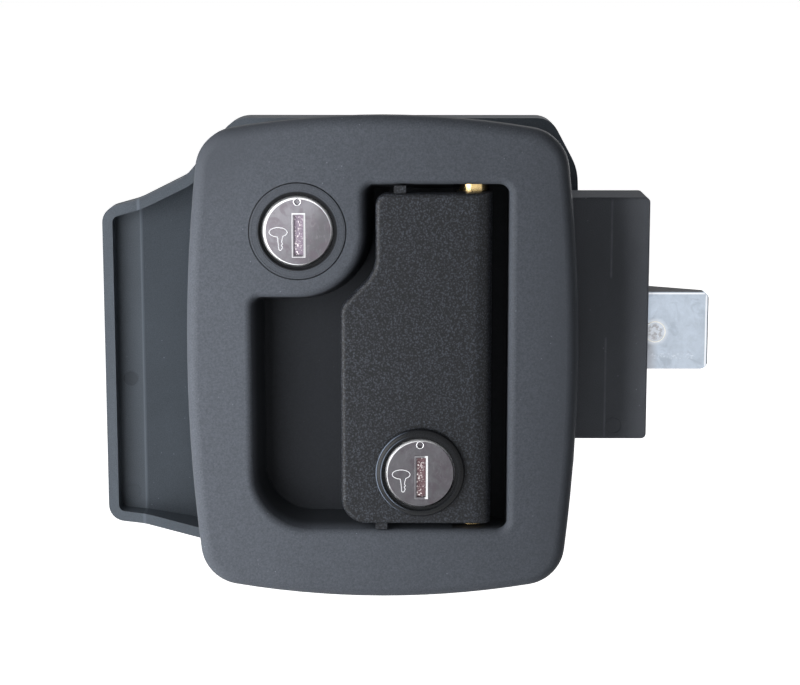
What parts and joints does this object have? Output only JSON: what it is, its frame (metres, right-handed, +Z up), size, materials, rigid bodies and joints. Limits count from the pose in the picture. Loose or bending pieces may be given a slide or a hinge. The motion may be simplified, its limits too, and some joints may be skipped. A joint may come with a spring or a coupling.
{
  "type": "door latch",
  "caption": "Flush door latch: bezel with a key-locked pull handle, spring latch bolt, key-driven deadbolt, and an inside plate with a lever and thumb turn.",
  "frame": {"origin": "centre of the rectangular door cut-out, in the plane of the door's outer skin, where the exterior bezel seats", "axes": "+X across the door towards its edge, the way the bolts point; +Y through the door from outside to inside; +Z up"},
  "size_m": [0.1576, 0.0742, 0.1206],
  "materials": {
    "bezel_black": "satin, fine grain",
    "handle_black": "coarse grain, slight sheen",
    "interior_black": "satin, moulded",
    "case_black": "satin, moulded",
    "gasket_foam": "closed-cell foam",
    "collar_black": "satin black",
    "lock_nickel": "brushed nickel plate",
    "bolt_zinc": "bright cast zinc, mottled",
    "plated_steel": "zinc-plated steel",
    "bush_brass": "turned brass"
  },
  "bodies": {
    "housing": {"exterior_bezel": "bezel_black", "bezel_gasket": "gasket_foam", "handle_pin": "plated_steel", "deadbolt_lock_sleeve": "collar_black", "deadbolt_lock_clip": "plated_steel", "latch_case": "case_black", "case_cover": "case_black", "cover_screws": "plated_steel", "case_screws": "plated_steel", "mounting_screws": "plated_steel", "latch_spring": "plated_steel", "interior_plate": "interior_black", "lever_pin": "plated_steel"},
    "handle": {"pull_handle": "handle_black", "pin_bushes": "bush_brass", "handle_lock_sleeve": "collar_black", "handle_lock_clip": "plated_steel"},
    "handle_key_turn": {"handle_lock_plug": "lock_nickel", "handle_lock_shutter": "lock_nickel", "handle_lock_cam": "plated_steel", "cam_screw": "plated_steel"},
    "bolt": {"latch_bolt": "bolt_zinc"},
    "lever": {"interior_lever": "interior_black"},
    "deadbolt_turn": {"thumb_turn": "interior_black", "thumb_turn_clip": "plated_steel", "deadbolt_crank": "bolt_zinc", "deadbolt_tailpiece": "plated_steel", "deadbolt_lock_plug": "lock_nickel", "deadbolt_lock_shutter": "lock_nickel"},
    "dead_bolt": {"deadbolt": "bolt_zinc"}
  },
  "joints": [
    {"name": "latch_bolt_slide", "type": "slide", "parent": "housing", "child": "bolt", "axis": [-1, 0, 0], "range_m": [0, 0.01523], "stiffness_N_per_m": 400, "springref_m": -0.02, "deforming": ["latch_spring"]},
    {"name": "handle_pull", "type": "hinge", "parent": "housing", "child": "handle", "pos_m": [0.0226, 0.0019, 0], "axis": [0, 0, 1], "range_deg": [0, 40]},
    {"name": "interior_lever_pull", "type": "hinge", "parent": "housing", "child": "lever", "pos_m": [0.0226, 0.0462, 0], "axis": [0, 0, -1], "range_deg": [0, 39.02]},
    {"name": "handle_key", "type": "hinge", "parent": "handle", "child": "handle_key_turn", "pos_m": [0.0093, -0.005, -0.0275], "axis": [0, -1, 0], "range_deg": [0, 90]},
    {"name": "deadbolt_slide", "type": "slide", "parent": "housing", "child": "dead_bolt", "axis": [1, 0, 0], "range_m": [0, 0.01414]},
    {"name": "thumb_turn_turn", "type": "hinge", "parent": "housing", "child": "deadbolt_turn", "pos_m": [-0.02066, 0.02, 0.0323], "axis": [0, -1, 0], "range_deg": [0, 90]}
  ],
  "couplings": [
    {"joint": "handle_pull", "follows": "latch_bolt_slide", "rad_per_m": 45.826},
    {"joint": "interior_lever_pull", "follows": "latch_bolt_slide", "rad_per_m": 44.69},
    {"joint": "thumb_turn_turn", "follows": "deadbolt_slide", "rad_per_m": 111.07}
  ]
}
